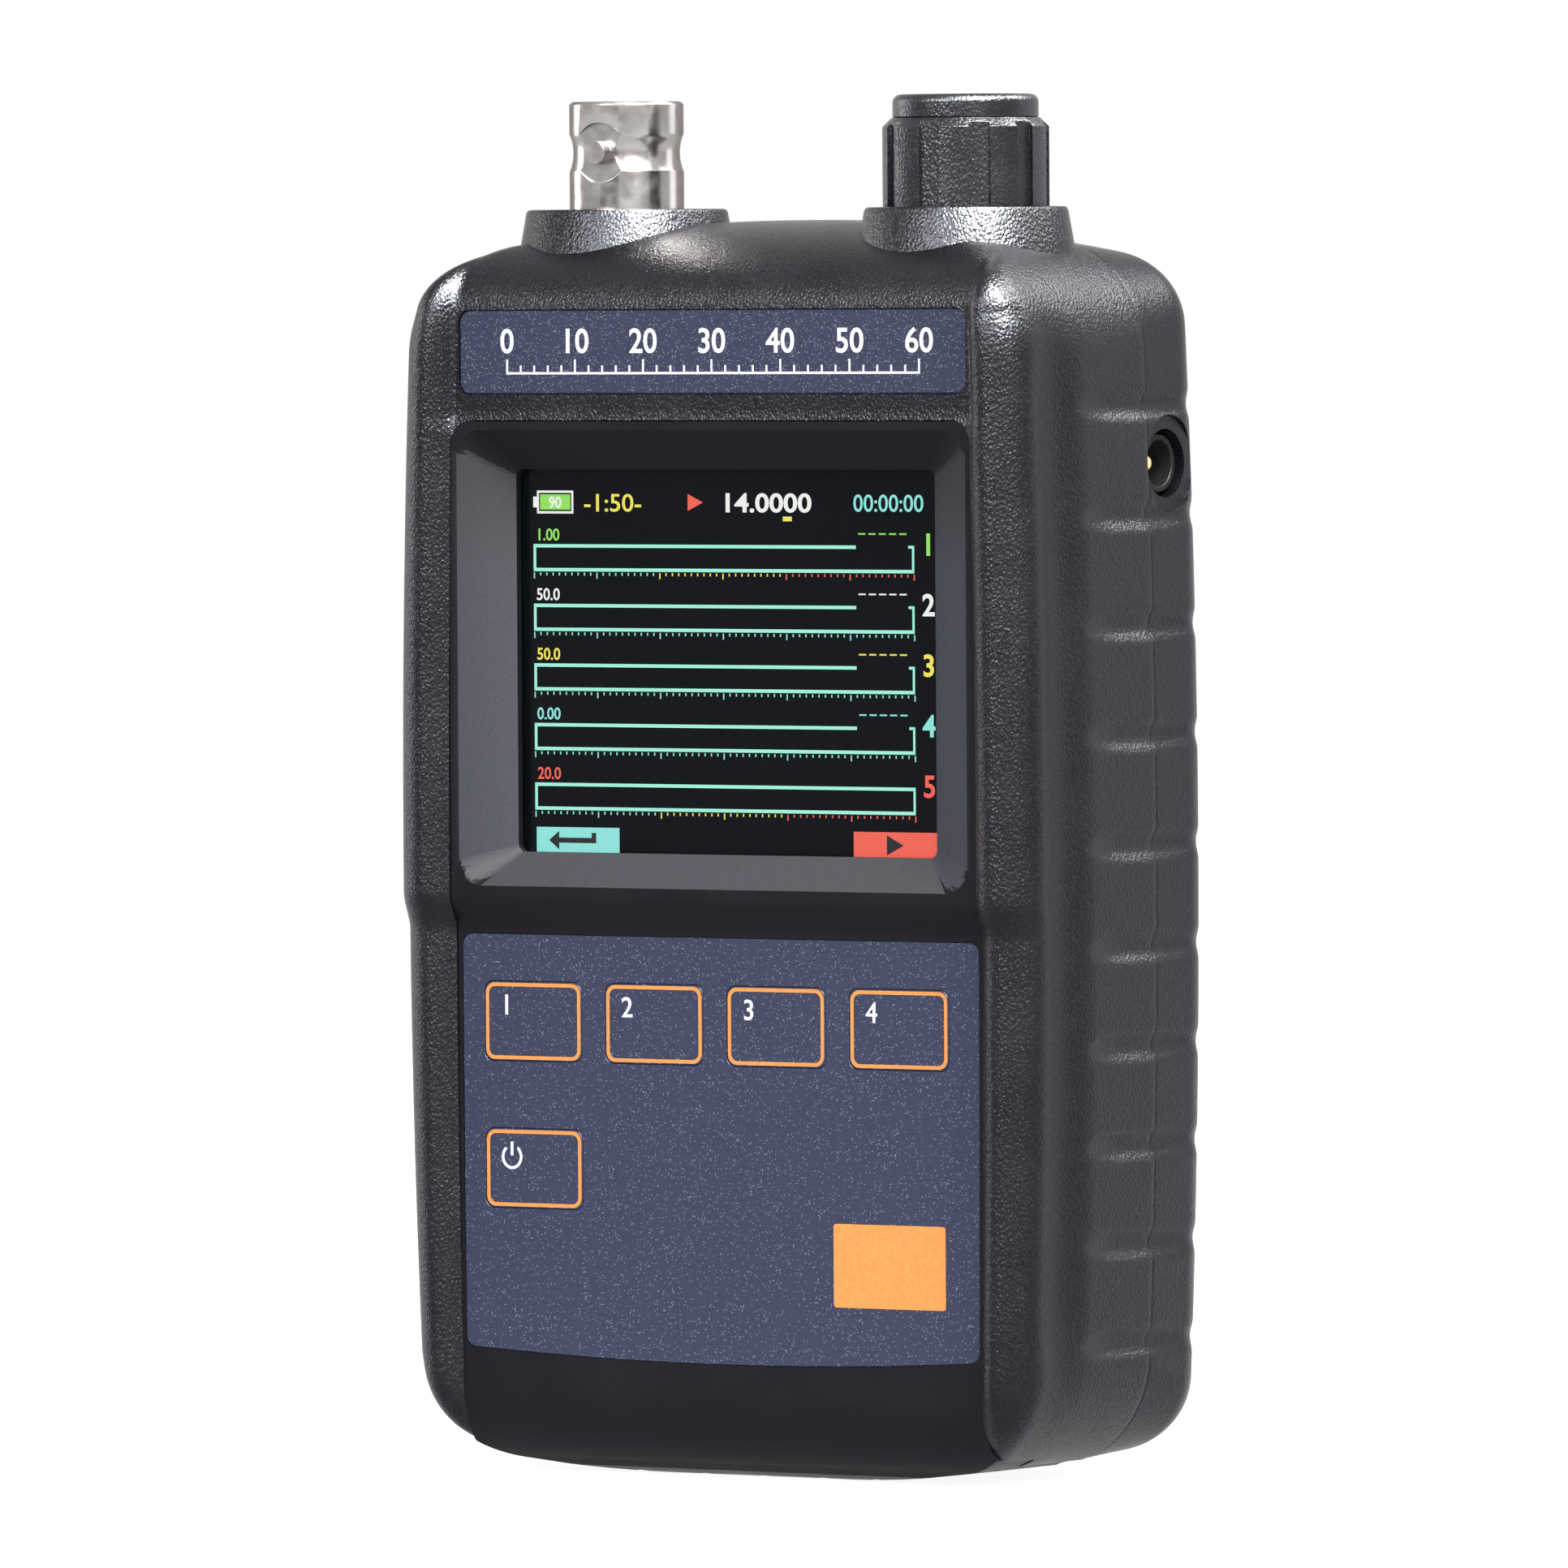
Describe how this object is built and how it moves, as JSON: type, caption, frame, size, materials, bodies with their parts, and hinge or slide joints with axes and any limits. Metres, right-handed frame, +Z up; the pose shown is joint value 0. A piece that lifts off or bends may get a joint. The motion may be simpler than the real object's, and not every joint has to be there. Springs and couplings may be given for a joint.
{
  "type": "antenna analyzer",
  "caption": "Handheld antenna analyzer: grained black case, lit colour display in a sloping bezel, flat keys, bayonet radio socket and tuning knob on top, charging socket in the side.",
  "frame": {"origin": "under the middle of the case, on the level that it stands on", "axes": "+X to the right seen from the front, +Y to the back, +Z up towards the socket and the knob"},
  "size_m": [0.0642, 0.0308, 0.1146],
  "materials": {
    "case": "black, leathery grain",
    "panel": "charcoal, fine matte",
    "label": "blue-grey with metallic fleck",
    "overlay": "blue-grey with metallic fleck",
    "key": "blue-grey with metallic fleck, orange outline",
    "plunger": "black",
    "switch": "black with steel lid",
    "knob": "black, fine grain on the grip",
    "knob_cap": "black, satin",
    "clip": "spring steel",
    "nickel": "bright nickel plating",
    "insulator": "white, waxy",
    "contact": "gold plating",
    "socket_block": "machined brass, plated",
    "display": "lit colour display under clear glass",
    "tray": "white",
    "foam": "black foam",
    "film": "amber film",
    "ribbon": "white film",
    "connector": "ivory",
    "board": "green solder mask",
    "chip": "black",
    "shield": "tinned steel",
    "screw": "zinc plating",
    "encoder": "black with steel lid",
    "steel": "nickel plating",
    "jack": "black",
    "cell": "laminated foil",
    "lead": "red and black insulation"
  },
  "bodies": {
    "case": {"back_shell": "case", "battery_board": "board", "battery_cells": "cell", "battery_leads": "lead", "battery_plug": "connector", "battery_socket": "connector", "battery_tape": "foam", "board_chips": "chip", "board_ribbon": "ribbon", "case_screws": "screw", "display_backlight": "tray", "display_flex": "film", "display_gasket": "foam", "display_glass": "display", "display_panel": "panel", "display_socket": "connector", "display_tape": "foam", "encoder_body": "encoder", "encoder_bushing": "steel", "encoder_nut": "steel", "encoder_washer": "steel", "front_board": "board", "front_board_screws": "screw", "front_shell": "case", "jack_housing": "jack", "jack_pin": "contact", "jack_tabs": "steel", "keypad_overlay": "overlay", "label_plate": "label", "main_board": "board", "main_board_screws": "screw", "ribbon_sockets": "connector", "shield_can": "shield", "socket_barrel": "nickel", "socket_block": "socket_block", "socket_contact": "contact", "socket_insulator": "insulator", "switch_bodies": "switch"},
    "key_f1_body": {"key_f1": "key", "plunger_f1": "plunger"},
    "key_f2_body": {"key_f2": "key", "plunger_f2": "plunger"},
    "key_f3_body": {"key_f3": "key", "plunger_f3": "plunger"},
    "key_f4_body": {"key_f4": "key", "plunger_f4": "plunger"},
    "key_power_body": {"key_power": "key", "plunger_power": "plunger"},
    "push_rod": {"push_plunger": "steel"},
    "knob_set": {"encoder_shaft": "steel", "knob": "knob", "knob_cap": "knob_cap", "knob_clip": "clip"}
  },
  "joints": [
    {"name": "f1_key_press", "type": "slide", "parent": "case", "child": "key_f1_body", "axis": [0, 1, 0], "range_m": [0, 0.0003], "stiffness_N_per_m": 5000},
    {"name": "f2_key_press", "type": "slide", "parent": "case", "child": "key_f2_body", "axis": [0, 1, 0], "range_m": [0, 0.0003], "stiffness_N_per_m": 5000},
    {"name": "f3_key_press", "type": "slide", "parent": "case", "child": "key_f3_body", "axis": [0, 1, 0], "range_m": [0, 0.0003], "stiffness_N_per_m": 5000},
    {"name": "f4_key_press", "type": "slide", "parent": "case", "child": "key_f4_body", "axis": [0, 1, 0], "range_m": [0, 0.0003], "stiffness_N_per_m": 5000},
    {"name": "power_key_press", "type": "slide", "parent": "case", "child": "key_power_body", "axis": [0, 1, 0], "range_m": [0, 0.0003], "stiffness_N_per_m": 5000},
    {"name": "knob_push", "type": "slide", "parent": "case", "child": "push_rod", "axis": [0, 0, -1], "range_m": [0, 0.0005], "stiffness_N_per_m": 6000},
    {"name": "knob_spin", "type": "hinge", "parent": "push_rod", "child": "knob_set", "pos_m": [0.0171, -0.0009, 0.105], "axis": [0, 0, 1], "continuous": true}
  ]
}
